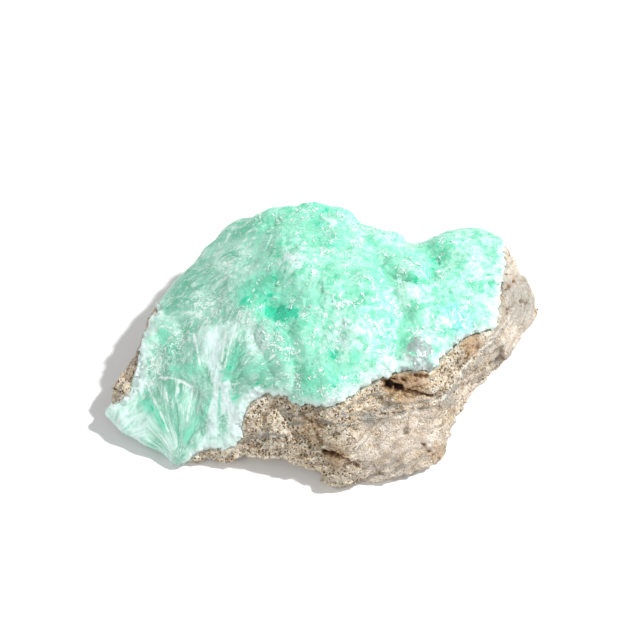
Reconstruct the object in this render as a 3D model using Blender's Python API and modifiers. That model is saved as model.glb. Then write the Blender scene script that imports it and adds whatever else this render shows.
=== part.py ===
"""A smithsonite specimen: a mint green crust of smithsonite grown over a block of granular dolomite.

Two solids that meet face to face: host_rock, the tan block that stands on its planed underside,
and smithsonite_crust, the lumpy crust over its top, which wraps down over the broken left end.
Lengths in the tables are millimetres. +Z is up, X runs along the specimen, and -Y is its front.
"""

import math

import bmesh
import bpy
import numpy as np
from mathutils import Matrix, Vector, noise

MM = 0.001

# Upper edge of the specimen, where its top turns down into its sides: x, y and height, seen from
# above and running anticlockwise from the right end.
RIM = (
    (39.4, 6.0, 21.0), (40.0, 14.5, 21.0), (38.4, 20.6, 21.0), (36.2, 25.0, 20.5), (31.5, 26.8, 19.5),
    (26.4, 25.8, 17.0), (21.8, 25.4, 15.5), (18.4, 25.7, 16.0), (16.9, 26.7, 18.0), (11.2, 26.9, 19.5),
    (7.8, 28.2, 20.5), (3.8, 31.0, 22.0), (-3.9, 31.8, 21.5), (-8.0, 31.3, 20.0), (-11.5, 32.4, 20.0),
    (-18.4, 32.2, 17.0), (-21.6, 30.7, 16.0), (-25.0, 26.9, 14.5), (-28.4, 22.2, 13.5),
    (-33.5, 15.9, 12.0), (-36.6, 8.1, 11.0), (-39.4, 1.4, 10.0), (-40.6, -3.6, 9.0), (-44.2, -6.4, 7.0),
    (-45.5, -9.6, 6.0), (-44.2, -13.0, 5.0), (-38.8, -17.2, 4.0), (-32.5, -20.6, 3.2),
    (-28.6, -22.4, 2.6), (-23.6, -21.8, 3.4), (-16.4, -20.9, 6.0), (-12.6, -19.0, 9.5),
    (-8.6, -18.6, 12.0), (-3.6, -19.6, 13.5), (0.6, -21.4, 13.8), (4.6, -20.9, 14.4),
    (8.0, -18.3, 15.4), (13.9, -16.2, 16.4), (21.5, -14.9, 16.8), (27.6, -9.0, 18.4),
    (33.0, -5.4, 19.4), (37.2, -1.8, 20.5),
)
# Lower edge, where the sides turn under: x, y and the height that the broken underside leaves there.
FOOT = (
    (45.4, 10.0, 7.0), (46.0, 14.6, 7.5), (44.8, 19.4, 7.0), (41.4, 23.4, 5.0), (36.0, 26.6, 3.0),
    (28.0, 28.6, 1.5), (19.0, 28.8, 0.5), (9.0, 30.4, 1.0), (-1.0, 32.6, 2.0), (-11.0, 32.4, 3.0),
    (-20.0, 30.6, 2.0), (-27.0, 24.6, 0.8), (-33.6, 17.4, 0.5), (-38.0, 8.0, 1.5), (-41.0, 0.0, 2.5),
    (-44.6, -5.8, 3.2), (-45.7, -9.2, 3.2), (-44.2, -13.0, 2.8), (-38.8, -17.0, 2.0),
    (-32.6, -20.4, 0.9), (-28.6, -22.2, 0.3), (-23.7, -21.6, 0.8), (-16.2, -22.9, 2.8),
    (-6.0, -25.0, 3.4), (-1.4, -25.6, 2.6), (1.2, -27.0, 0.6), (3.8, -29.0, 0.0), (10.5, -27.6, 0.6),
    (17.2, -26.4, 1.6), (22.6, -24.8, 1.6), (25.2, -22.6, 1.2), (26.6, -17.4, 1.6), (28.0, -13.4, 2.6),
    (32.0, -7.4, 3.6), (37.4, -0.8, 5.0), (42.6, 5.6, 6.4),
)
# Where the crust ends, seen from above. Past the rim it runs outside the outline, so that the crust
# there is broken off flush with the side of the block.
CRUST_EDGE = (
    (-28.8, -30.0), (-28.6, -23.4), (-24.2, -21.6), (-18.4, -22.0), (-16.3, -21.2), (-16.0, -18.6),
    (-14.7, -16.8), (-12.0, -15.6), (-7.8, -15.9), (-3.8, -18.3), (0.2, -20.5), (3.4, -19.9),
    (6.7, -17.8), (9.2, -16.0), (13.9, -14.3), (17.2, -13.8), (22.0, -13.3), (24.8, -9.8), (28.7, -6.4),
    (32.6, -4.4), (36.8, -2.4), (37.6, 4.7), (39.4, 13.5), (38.8, 18.5), (41.0, 22.0), (58.0, 28.0),
    (40.0, 58.0), (-40.0, 58.0), (-46.0, 30.0), (-38.0, 15.0), (-35.4, 8.6), (-37.6, 2.0),
    (-38.6, -4.6), (-40.4, -9.0), (-43.2, -11.0), (-47.5, -11.6), (-58.0, -20.0), (-50.0, -34.0),
)
# The top: a smooth skin hung between the rim's heights, each counting within about RIM_REACH, with a dome.
RIM_REACH = 9.0
DOME_HEIGHT, DOME_LENGTH, DOME_WIDTH = 9.5, 34.0, 24.0
SIDE_BULGE = 1.0
CRUST_THICKNESS = 4.2
CRUST_THICKNESS_LEFT = 7.5
LEFT_END_FROM, LEFT_END_TO = -8.0, -26.0
THICKEST_SHARE = 0.55
CRUST_BANK = 1.6
CRUST_SINK = 1.6
CRUST_LIP, CRUST_LIP_WIDTH = 0.45, 3.0
CRUST_SIDE_SHARE = 0.35
SOLIDS_GAP = 0.3

# Over the broken left end the crust reaches the foot, so the block stays this far inside it there.
WRAP_AZIMUTH, WRAP_WIDTH, WRAP_INSET = 203.0, 15.0, 3.4
WRAP_REACH, WRAP_FADE = 19.5, 6.0

# Rounded lumps and hollows of the crust: x, y, radius, and height, which is below 0 for a hollow.
CRUST_LUMPS = (
    (1.0, 2.0, 15.0, 2.8), (-4.5, 11.5, 7.0, 1.5), (6.8, -9.5, 6.0, 1.7), (0.7, -17.5, 5.5, 2.2),
    (-8.0, 21.0, 7.5, 1.5), (5.0, 23.0, 5.5, 1.3), (-3.5, -6.5, 4.5, 1.2), (9.5, 4.5, 5.0, 1.0),
    (12.5, 20.5, 4.2, 1.1), (19.0, 5.5, 3.8, 2.0), (22.5, -2.0, 6.5, 1.0), (28.7, 18.0, 6.0, 2.6),
    (34.5, 13.0, 6.0, 1.2), (31.0, -1.5, 5.5, 0.9), (22.6, 9.2, 2.6, -2.6), (24.6, 14.8, 3.8, -2.2),
    (-9.3, 0.2, 4.4, -2.6), (-14.5, 8.0, 4.2, -1.2), (18.2, 22.0, 3.2, -1.4), (19.0, -10.6, 4.0, 0.9),
    (-23.0, -6.0, 9.0, 1.6), (-31.0, -13.0, 7.0, 1.4), (-31.0, 9.0, 6.5, 1.0), (-21.5, 19.0, 6.5, 1.2),
    (-36.0, -7.0, 3.4, -0.9), (-17.5, -18.5, 4.0, 1.0),
)
# Grooves between the lumps: two ends, width and depth.
CRUST_GROOVES = (
    ((6.5, 27.0), (12.0, 13.0), 2.2, 1.1), ((12.0, 13.0), (16.4, -2.0), 2.0, 1.2),
    ((16.4, -2.0), (15.0, -11.0), 1.8, 1.0), ((-6.0, -9.0), (-5.0, -17.0), 1.8, 1.2),
    ((-13.5, -6.0), (-9.0, -13.5), 1.7, 1.2), ((-15.5, 14.0), (-11.0, 27.0), 1.8, 0.9),
    ((-39.5, -12.5), (-29.0, -12.0), 1.2, 0.8), ((-27.0, -13.0), (-24.5, -20.5), 1.2, 0.8),
)
# Clusters of fibres, cut through on the broken left end: x, y and z of the point they spread from,
# and how far they reach.
FIBRE_FANS = (
    ((-22.8, -11.9, 9.5), 15.0),
    ((-30.0, -20.5, 0.5), 13.5),
    ((-43.0, -16.0, 0.5), 9.0),
    ((-36.5, 1.0, 5.0), 11.0),
)
FIBRE_RIDGE, FIBRE_SPREAD = 0.6, 0.3
FAN_STEP = 0.7
# Distances to the left of the middle between which the knobs give way to the broken surface.
BROKEN_FROM_TO = (8.0, 14.0)

# Swellings of the block's sides: x, y and z of the middle, radius, and height.
ROCK_SWELLINGS = (
    ((-10.5, -18.5, 8.0), 6.5, 1.5), ((14.0, -22.0, 9.0), 10.0, 1.6), ((3.0, -26.0, 3.0), 5.0, 1.2),
    ((38.0, -3.0, 12.0), 7.0, 1.2), ((44.0, 16.0, 12.0), 6.0, 1.0), ((-5.0, 32.0, 9.0), 9.0, 1.3),
    ((-30.0, 20.0, 5.0), 8.0, 1.0), ((27.0, 27.0, 8.0), 8.0, 1.2),
)
# Crevices in the block's sides: two ends, width and depth.
ROCK_CREVICES = (
    ((-0.5, -23.0, 9.5), (2.4, -27.0, 5.0), 1.3, 1.8),
    ((2.4, -27.0, 5.0), (8.0, -27.6, 1.5), 1.2, 1.5),
    ((13.4, -15.0, 15.0), (18.6, -15.4, 14.4), 1.3, 2.4),
    ((18.6, -15.4, 14.4), (25.4, -15.0, 14.2), 0.9, 1.3),
    ((27.5, -9.5, 16.4), (35.5, -4.6, 17.8), 0.8, 1.0),
    ((2.0, -22.0, 11.5), (12.5, -20.0, 12.0), 0.9, 0.9),
    ((30.5, -11.0, 12.0), (41.5, 1.5, 15.0), 0.9, 1.0),
    ((43.6, 6.0, 14.0), (43.4, 16.0, 16.0), 0.9, 1.0),
    ((-24.0, 29.0, 9.0), (-8.0, 32.5, 12.0), 1.1, 1.4),
    ((10.0, 30.0, 7.0), (30.0, 28.5, 10.0), 1.1, 1.3),
)
LEDGE_SPACING, LEDGE_DEPTH = 3.4, 0.5
SIDE_ROUGHNESS, SIDE_GRAIN = 1.5, 9.0
TOP_ROUGHNESS, TOP_GRAIN = 0.35, 5.0
PIT_SPACING, PIT_DEPTH = 3.2, 0.7
KNOB_SPACING, KNOB_HEIGHT = 3.8, 0.8
UNDERSIDE_ROUGHNESS, UNDERSIDE_GRAIN, UNDERSIDE_LEVEL = 1.6, 14.0, -0.1
PLANED_DEPTH = 0.25
CRUST_CLEAR_OF_FLOOR = 0.4
UNDER_CRUST_LIFT = 3.2

# Latitudes of the starting sphere that become the rim and the foot.
RIM_LATITUDE, FOOT_LATITUDE = math.radians(20), math.radians(-20)
SPHERE_SUBDIVISIONS = 7
SKIN_CELL = 0.5
ROCK_TRIANGLES = 4300
CRUST_TRIANGLES = 5000

DOLOMITE_COLOUR = (0.47, 0.37, 0.27, 1.0)
SMITHSONITE_COLOUR = (0.30, 0.78, 0.58, 1.0)


def smooth_step(value, low, high):
    """0 below low, 1 above high, with a smooth rise between."""
    t = np.clip((value - low) / (high - low), 0.0, 1.0)
    return t * t * (3.0 - 2.0 * t)


def by_azimuth(outline):
    """The outline as a function: for azimuths, the radius and height of a smooth curve through its points."""
    points = np.array(outline)
    steps = np.linspace(0.0, 1.0, 9)[:-1, None]
    curve = []
    for i in range(len(points)):
        a, b, c, d = (points[(i + k) % len(points)] for k in (-1, 0, 1, 2))
        bend = (c - a) * steps + (2 * a - 5 * b + 4 * c - d) * steps**2 + (3 * (b - c) + d - a) * steps**3
        curve.append(b + 0.5 * bend)
    x, y, z = np.concatenate(curve).T
    azimuth = np.arctan2(y, x)
    order = np.argsort(azimuth)
    azimuth = azimuth[order]
    radius = np.hypot(x, y)[order]
    height = z[order]

    def look_up(wanted):
        return (
            np.interp(wanted, azimuth, radius, period=2 * math.pi),
            np.interp(wanted, azimuth, height, period=2 * math.pi),
        )

    return look_up


rim_at = by_azimuth(RIM)
foot_at = by_azimuth(FOOT)


def inside_edge(x, y):
    """How far each point lies inside the crust's edge, seen from above; below 0 outside."""
    nearest = np.full(x.shape, 1e9)
    inside = np.zeros(x.shape, bool)
    for (ax, ay), (bx, by) in zip(CRUST_EDGE, CRUST_EDGE[1:] + CRUST_EDGE[:1]):
        dx, dy = bx - ax, by - ay
        along = np.clip(((x - ax) * dx + (y - ay) * dy) / (dx * dx + dy * dy), 0.0, 1.0)
        nearest = np.minimum(nearest, np.hypot(x - ax - along * dx, y - ay - along * dy))
        if dy:
            crosses = (ay > y) != (by > y)
            inside ^= crosses & (x < ax + (y - ay) * dx / dy)
    return np.where(inside, nearest, -nearest)


def distance_to_run(points, start, end):
    """Distance from each point to the straight run between two ends."""
    run = np.subtract(end, start)
    along = np.clip((points - start) @ run / (run @ run), 0.0, 1.0)
    return np.linalg.norm(points - start - along[:, None] * run, axis=1)


def top_height(x, y, share, rim_z):
    """Height of the specimen's top; share is the distance out to the rim, from 0 to 1."""
    weight_sum = np.zeros_like(x)
    height = np.zeros_like(x)
    for rim_x, rim_y, z in RIM:
        weight = 1.0 / ((x - rim_x) ** 2 + (y - rim_y) ** 2 + RIM_REACH**2) ** 1.5
        weight_sum += weight
        height += weight * z
    height = height / weight_sum + DOME_HEIGHT * np.exp(-((x / DOME_LENGTH) ** 2) - (y / DOME_WIDTH) ** 2)
    height += (rim_z - height) * share**8
    for lump_x, lump_y, radius, rise in CRUST_LUMPS:
        far = ((x - lump_x) ** 2 + (y - lump_y) ** 2) / radius**2
        height += rise * np.exp(-1.6 * far) * (1.0 - 0.5 * share**6)
    for start, end, width, depth in CRUST_GROOVES:
        near = distance_to_run(np.stack([x, y], axis=1), start, end)
        height -= depth * np.exp(-((near / width) ** 2))
    return height


def crust_depth(x, y, height, foot_z):
    """Upright thickness of the crust over each point of the top, 0 past its edge."""
    left = smooth_step(-x, -LEFT_END_FROM, -LEFT_END_TO)
    full = CRUST_THICKNESS + (CRUST_THICKNESS_LEFT - CRUST_THICKNESS) * left
    full = np.minimum(full, THICKEST_SHARE * (height - foot_z))
    return full * smooth_step(inside_edge(x, y), -0.3, CRUST_BANK)


def side_point(azimuth, down, inset):
    """Radius and height on the side of the specimen, from the rim at down 0 to the foot at down 1."""
    rim_r, rim_z = rim_at(azimuth)
    foot_r, foot_z = foot_at(azimuth)
    radius = rim_r + (foot_r - rim_r) * down + SIDE_BULGE * 4.0 * down * (1.0 - down) - inset
    return radius, rim_z + (foot_z - rim_z) * down


def polar(points, sphere):
    """Azimuth of each point about the upright axis, and latitude of its start on the sphere."""
    return np.arctan2(points[:, 1], points[:, 0]), np.arcsin(np.clip(sphere[:, 2], -1.0, 1.0))


def block_shape(directions, with_crust):
    """Points of the specimen's form for points of a unit sphere: the whole of it, or the block alone."""
    azimuth, latitude = polar(directions, directions)
    rim_r, rim_z = rim_at(azimuth)
    foot_r, foot_z = foot_at(azimuth)
    turn = np.degrees(azimuth) % 360.0
    inset = np.zeros_like(azimuth)
    start = np.zeros_like(azimuth)
    if not with_crust:
        inset = WRAP_INSET * np.exp(-(((turn - WRAP_AZIMUTH) / WRAP_WIDTH) ** 2))
        rim_x, rim_y = rim_r * np.cos(azimuth), rim_r * np.sin(azimuth)
        start = crust_depth(rim_x, rim_y, rim_z, foot_z) / (rim_z - foot_z)

    down = np.clip((RIM_LATITUDE - latitude) / (RIM_LATITUDE - FOOT_LATITUDE), 0.0, 1.0)
    radius, height = side_point(azimuth, start + (1.0 - start) * down, inset)

    over = latitude > RIM_LATITUDE
    out = np.sqrt((1.0 - np.sin(latitude)) / (1.0 - math.sin(RIM_LATITUDE)))
    top_radius = radius * np.minimum(out, 1.0)
    x, y = top_radius * np.cos(azimuth), top_radius * np.sin(azimuth)
    top = top_height(x, y, np.minimum(top_radius / rim_r, 1.0), rim_z)
    if not with_crust:
        top = top - crust_depth(x, y, top, foot_z)
    radius = np.where(over, top_radius, radius)
    height = np.where(over, top, height)

    under = latitude < FOOT_LATITUDE
    out = np.sqrt((1.0 + np.sin(latitude)) / (1.0 - math.sin(-FOOT_LATITUDE)))
    radius = np.where(under, (foot_r - inset) * np.minimum(out, 1.0), radius)
    height = np.where(under, foot_z * smooth_step(out, 0.55, 1.0), height)
    return np.stack([radius * np.cos(azimuth), radius * np.sin(azimuth), height], axis=1)


def noise_at(points, grain, octaves=4, offset=0.0):
    """Fractal noise of about -1 to 1 at each point, with bumps about grain across."""
    shift = Vector((offset, 2.0 * offset, -offset))
    return np.array([noise.fractal(Vector(p) / grain + shift, 0.9, 2.0, octaves) for p in points])


def cell_distance(points, spacing):
    """Distance from each point to the nearest of a scatter of points, in units of their spacing."""
    return np.array([noise.voronoi(Vector(p) / spacing)[0][0] for p in points])


def side_relief(points, side):
    """Outward relief of the block's broken sides: swellings, ledges along the bedding, crevices and pits."""
    relief = SIDE_ROUGHNESS * noise_at(points, SIDE_GRAIN)
    rim_z = rim_at(np.arctan2(points[:, 1], points[:, 0]))[1]
    bed = (rim_z - points[:, 2]) / LEDGE_SPACING + 0.7 * noise_at(points, 12.0, 2, 3.0)
    step = bed - np.floor(bed)
    relief += LEDGE_DEPTH * (smooth_step(step, 0.0, 0.25) - step)
    relief -= PIT_DEPTH * smooth_step(0.42 - cell_distance(points, PIT_SPACING), 0.0, 0.3)
    for middle, radius, rise in ROCK_SWELLINGS:
        relief += rise * np.exp(-1.6 * ((points - middle) ** 2).sum(axis=1) / radius**2)
    for start, end, width, depth in ROCK_CREVICES:
        relief -= depth * np.exp(-((distance_to_run(points, start, end) / width) ** 2))
    return relief * side


def crust_relief(points, cover):
    """Outward relief of the crust: small knobs where it grew freely, fibre ridges where it is broken."""
    broken = smooth_step(-points[:, 0], *BROKEN_FROM_TO)
    knobs = 1.0 - 1.3 * cell_distance(points, KNOB_SPACING)
    fans = np.zeros(len(points))
    for centre, reach in FIBRE_FANS:
        spoke = points - centre
        length = np.linalg.norm(spoke, axis=1)
        ridge = FIBRE_RIDGE * noise_at(spoke / length[:, None], FIBRE_SPREAD, 2, centre[0])
        fans = np.maximum(fans, (FAN_STEP + ridge) * smooth_step(reach - length, 0.0, 1.4))
    relief = TOP_ROUGHNESS * noise_at(points, TOP_GRAIN, 3, 7.0)
    return cover * (relief + KNOB_HEIGHT * knobs * (1.0 - broken) + fans * broken)


def sphere_mesh():
    """A fine unit sphere, as a bmesh and its vertex positions."""
    mesh = bmesh.new()
    bmesh.ops.create_icosphere(mesh, subdivisions=SPHERE_SUBDIVISIONS, radius=1.0)
    return mesh, np.array([v.co[:] for v in mesh.verts])


def set_points(mesh, points):
    for vert, point in zip(mesh.verts, points):
        vert.co = point
    mesh.normal_update()
    return np.array([v.normal[:] for v in mesh.verts])


def object_of(mesh, name):
    """A mesh in millimetres as an object in metres."""
    data = bpy.data.meshes.new(name)
    mesh.to_mesh(data)
    mesh.free()
    data.transform(Matrix.Scale(MM, 4))
    made = bpy.data.objects.new(name, data)
    bpy.context.scene.collection.objects.link(made)
    return made


def baked(obj):
    """Replaces the object's mesh by what its modifiers make of it."""
    bpy.context.view_layer.update()
    graph = bpy.context.evaluated_depsgraph_get()
    data = bpy.data.meshes.new_from_object(obj.evaluated_get(graph))
    obj.modifiers.clear()
    obj.data = data
    return obj


def skinned(obj):
    """One clean closed skin in place of a form whose folds may cross."""
    skin = obj.modifiers.new("one_skin", "REMESH")
    skin.mode = "VOXEL"
    skin.voxel_size = SKIN_CELL * MM
    return baked(obj)


def thinned(obj, triangles):
    """Fewer triangles, kept where the form needs them."""
    decimate = obj.modifiers.new("fewer_faces", "DECIMATE")
    decimate.ratio = triangles / (2 * len(obj.data.polygons))
    decimate.use_collapse_triangulate = True
    return baked(obj)


def cut_away(obj, cutter):
    """Cuts one mesh out of another and removes the cutter."""
    cut = obj.modifiers.new("cut", "BOOLEAN")
    cut.operation = "DIFFERENCE"
    cut.solver = "EXACT"
    cut.object = cutter
    baked(obj)
    bpy.data.objects.remove(cutter)
    return obj


def planed(obj):
    """Planes off what reaches below z = 0, which leaves the flat faces that the specimen rests on."""
    slab = bmesh.new()
    bmesh.ops.create_cube(slab, size=1.0)
    bmesh.ops.scale(slab, verts=slab.verts, vec=(200.0, 200.0, 20.0))
    bmesh.ops.translate(slab, verts=slab.verts, vec=(0.0, 0.0, -10.0))
    return cut_away(obj, object_of(slab, "plane_cutter"))


def make_host_rock():
    """The block, its top sunk by the crust's thickness and its underside planed flat where it is lowest."""
    mesh, sphere = sphere_mesh()
    points = block_shape(sphere, with_crust=False)
    normals = set_points(mesh, points)
    latitude = polar(points, sphere)[1]
    within = inside_edge(points[:, 0], points[:, 1])
    on_top = smooth_step(latitude, RIM_LATITUDE - 0.02, RIM_LATITUDE)
    side = smooth_step(latitude, FOOT_LATITUDE - 0.15, FOOT_LATITUDE + 0.1)
    side *= 1.0 - on_top * smooth_step(within, -1.0, 1.0)
    points = points + normals * side_relief(points, side)[:, None]

    under = 1.0 - smooth_step(latitude, FOOT_LATITUDE - 0.1, FOOT_LATITUDE)
    broken = UNDERSIDE_ROUGHNESS * (noise_at(points, UNDERSIDE_GRAIN, 4, 11.0) + UNDERSIDE_LEVEL)
    points[:, 2] += under * np.maximum(broken, 0.0) - PLANED_DEPTH
    set_points(mesh, points)
    return planed(thinned(skinned(object_of(mesh, "host_rock")), ROCK_TRIANGLES))


def make_crust_blank():
    """The crust before its underside is cut: the whole form, sunk below the block's surface past its edge."""
    mesh, sphere = sphere_mesh()
    points = block_shape(sphere, with_crust=True)
    normals = set_points(mesh, points)
    azimuth, latitude = polar(points, sphere)
    rim_r, rim_z = rim_at(azimuth)
    foot_z = foot_at(azimuth)[1]
    contact = rim_z - crust_depth(rim_r * np.cos(azimuth), rim_r * np.sin(azimuth), rim_z, foot_z)

    # It covers the top within its edge, the sides down to the contact, and all of the broken left end.
    off_wrap = np.abs(np.degrees(azimuth) % 360.0 - WRAP_AZIMUTH)
    wrap = smooth_step(WRAP_REACH - off_wrap, 0.0, WRAP_FADE)
    on_side = np.maximum(smooth_step(points[:, 2] - contact, -0.8, 0.2), wrap)
    within = inside_edge(points[:, 0], points[:, 1])
    cover = smooth_step(within, -0.7, 0.7) * np.where(latitude > RIM_LATITUDE, 1.0, on_side)

    side = smooth_step(latitude, FOOT_LATITUDE - 0.15, FOOT_LATITUDE + 0.1)
    side *= 1.0 - smooth_step(latitude, RIM_LATITUDE, RIM_LATITUDE + 0.12)
    relief = crust_relief(points, cover) + CRUST_SIDE_SHARE * side_relief(points, side * cover)
    relief += CRUST_LIP * cover * smooth_step(CRUST_LIP_WIDTH - within, 0.0, 2.0)
    relief -= CRUST_SINK * (1.0 - cover)
    points = points + normals * relief[:, None]

    lifted = UNDER_CRUST_LIFT + (foot_z - UNDER_CRUST_LIFT) * wrap
    raised = np.maximum(points[:, 2], lifted)
    points[:, 2] = np.maximum(np.where(latitude < FOOT_LATITUDE, raised, points[:, 2]), CRUST_CLEAR_OF_FLOOR)
    set_points(mesh, points)
    return thinned(skinned(object_of(mesh, "smithsonite_crust")), CRUST_TRIANGLES)


def cut_contact(crust, rock):
    """Cuts the block, grown by the gap between the two, out of the crust."""
    cutter = rock.copy()
    cutter.data = rock.data.copy()
    cutter.name = "contact_cutter"
    bpy.context.scene.collection.objects.link(cutter)
    normals = [v.normal.copy() for v in cutter.data.vertices]
    for vert, normal in zip(cutter.data.vertices, normals):
        vert.co += normal * SOLIDS_GAP * MM
    cut_away(crust, cutter)


def keep_largest_body(obj):
    """Drops the small chips that the cut leaves beside the crust."""
    mesh = bmesh.new()
    mesh.from_mesh(obj.data)
    bmesh.ops.remove_doubles(mesh, verts=mesh.verts, dist=1e-6)
    left = set(mesh.faces)
    bodies = []
    while left:
        body = {left.pop()}
        edge_of_body = list(body)
        while edge_of_body:
            face = edge_of_body.pop()
            beside = {f for e in face.edges for f in e.link_faces if f in left}
            left -= beside
            body |= beside
            edge_of_body += beside
        bodies.append(body)
    bodies.sort(key=lambda b: (sum(f.calc_area() for f in b), len(b)))
    chips = [f for body in bodies[:-1] for f in body]
    bmesh.ops.delete(mesh, geom=chips, context="FACES")
    mesh.to_mesh(obj.data)
    mesh.free()


def centre_on_origin(objects):
    """Moves the meshes together, so that the origin is the middle of the specimen's box, on its underside."""
    corners = np.array([v.co[:] for o in objects for v in o.data.vertices])
    low, high = corners.min(axis=0), corners.max(axis=0)
    shift = Matrix.Translation((-(low[0] + high[0]) / 2, -(low[1] + high[1]) / 2, 0.0))
    for obj in objects:
        obj.data.transform(shift)


def finish(name, colour, roughness):
    material = bpy.data.materials.new(name)
    material.use_nodes = True
    shader = material.node_tree.nodes["Principled BSDF"]
    shader.inputs["Base Color"].default_value = colour
    shader.inputs["Roughness"].default_value = roughness
    shader.inputs["Metallic"].default_value = 0.0
    return material


def main():
    for old in list(bpy.data.objects):
        bpy.data.objects.remove(old)
    rock = make_host_rock()
    crust = make_crust_blank()
    cut_contact(crust, rock)
    keep_largest_body(crust)
    centre_on_origin([rock, crust])

    specimen = bpy.data.collections.new("smithsonite_specimen")
    bpy.context.scene.collection.children.link(specimen)
    looks = (
        (rock, finish("granular_dolomite", DOLOMITE_COLOUR, 0.9)),
        (crust, finish("smithsonite", SMITHSONITE_COLOUR, 0.3)),
    )
    for obj, material in looks:
        obj.data.materials.clear()
        obj.data.materials.append(material)
        bpy.context.scene.collection.objects.unlink(obj)
        specimen.objects.link(obj)


main()
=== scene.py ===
"""The looks of a smithsonite specimen: a translucent mint green crust on a block of granular dolomite.

Lengths in the tables are millimetres, in the part's own frame: +Z up, the front of the specimen
towards -Y, and the origin under its middle.
"""

import math

import bmesh
import bpy
import numpy as np
from mathutils import Matrix, Vector, noise
from mathutils.bvhtree import BVHTree
from mathutils.kdtree import KDTree


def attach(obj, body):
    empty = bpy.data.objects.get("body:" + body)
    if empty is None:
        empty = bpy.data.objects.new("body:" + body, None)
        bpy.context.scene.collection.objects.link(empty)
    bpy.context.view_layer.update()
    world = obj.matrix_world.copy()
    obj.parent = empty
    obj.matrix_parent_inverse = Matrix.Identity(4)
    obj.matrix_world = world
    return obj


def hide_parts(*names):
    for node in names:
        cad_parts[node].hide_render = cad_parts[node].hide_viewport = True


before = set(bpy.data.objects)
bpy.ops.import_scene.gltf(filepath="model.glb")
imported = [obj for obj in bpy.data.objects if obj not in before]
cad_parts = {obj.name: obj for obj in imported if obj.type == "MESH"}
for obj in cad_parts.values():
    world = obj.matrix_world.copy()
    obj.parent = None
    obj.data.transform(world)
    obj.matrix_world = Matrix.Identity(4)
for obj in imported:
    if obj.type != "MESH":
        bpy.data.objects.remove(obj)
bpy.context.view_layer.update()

MM = 0.001
RANDOM_SEED = 41

# The view of the photograph: 50 degrees above the floor, from straight in front.
VIEW_ELEVATION = math.radians(50.0)
VIEW_TARGET = (-0.5, -3.0, 20.0)
VIEW_DISTANCE = 373.3
VIEW_BACK = (0.0, -math.cos(VIEW_ELEVATION), math.sin(VIEW_ELEVATION))
LENS_MM, SENSOR_MM = 100.0, 36.0

# Light: a bright softbox to the right and a little behind, a weak one in front, and a pale room.
# Each direction points from the specimen to the light.
KEY_DIRECTION = (0.62, 0.10, 0.78)
KEY_DISTANCE, KEY_SIZE, KEY_WATTS = 900.0, 60.0, 8.3
FILL_DIRECTION = (-0.5, -0.7, 0.6)
FILL_DISTANCE, FILL_SIZE, FILL_WATTS = 900.0, 700.0, 2.0
ROOM_COLOUR, ROOM_STRENGTH = "#F5F6F7", 0.44
FLOOR_WIDTH = 4000.0

# Cell of the fine skins, and how much of the skin that is hidden in the contact is kept. Hidden are the
# crust's faces that are near the block and don't look up, and the block's that are near the crust and do.
CRUST_CELL = 0.27
ROCK_CELL = 0.315
COARSE_CELL = 0.5
HIDDEN_KEPT = 0.06
CRUST_HIDDEN_GAP, CRUST_HIDDEN_SLOPE = 0.75, 0.3
ROCK_HIDDEN_GAP, ROCK_HIDDEN_SLOPE = 0.8, 0.2
# How far the search for the nearest place on a surface goes.
SEARCH, SEARCH_NEAR, SEARCH_FAR = 12.0, 3.0, 25.0

# The contact. The block counts as bare past BARE_GAP from the crust. The relief of the crust starts at the
# first of its depths over the block, and is full at the second. The lip of the crust bends down onto the
# block and frays, and the block is pulled up to it: each from nothing at its first distance to its whole
# share at its second. The block also swells there.
BARE_GAP = 0.9
RELIEF_DEPTH = (0.5, 1.2)
LIP_BEND, LIP_BEND_DEPTH = 0.45, (2.4, 1.0)
LIP_FRAY, LIP_FRAY_DEPTH, FRAY_WIDTH = 0.75, (3.0, 1.2), 1.4
ROCK_PULL, ROCK_PULL_GAP = 0.85, (1.8, 0.4)
ROCK_SWELL = 0.55

# Clusters of fibres on the broken left end: the point they spread from, and the cluster's middle
# and radius, seen from above.
FIBRE_FANS = (
    ((-22.4, -15.5, 9.0), (-20.5, -9.0), 9.6),
    ((-21.5, -14.5, 8.0), (-20.5, -20.5), 6.0),
    ((-29.7, -26.8, 2.0), (-31.0, -18.5), 6.8),
    ((-46.0, -21.0, 0.0), (-41.0, -17.5), 5.0),
    ((-33.0, -15.0, 4.0), (-37.0, -7.5), 6.0),
    ((-26.0, -14.0, 6.0), (-31.0, -4.5), 6.5),
    ((-41.0, 0.0, 0.0), (-27.5, 9.0), 8.0),
    ((-30.0, 4.0, 2.0), (-18.5, 19.0), 10.0),
    ((-15.0, -5.0, 4.0), (-14.5, 6.0), 7.0),
)
# The first fan breaks through this far from its point. Elsewhere the crust is grown freely to the right
# of the first of these, and broken through to the left of the second.
FAN_ARC = 17.7
BROKEN_FROM_TO = (-12.0, -16.0)

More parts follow.
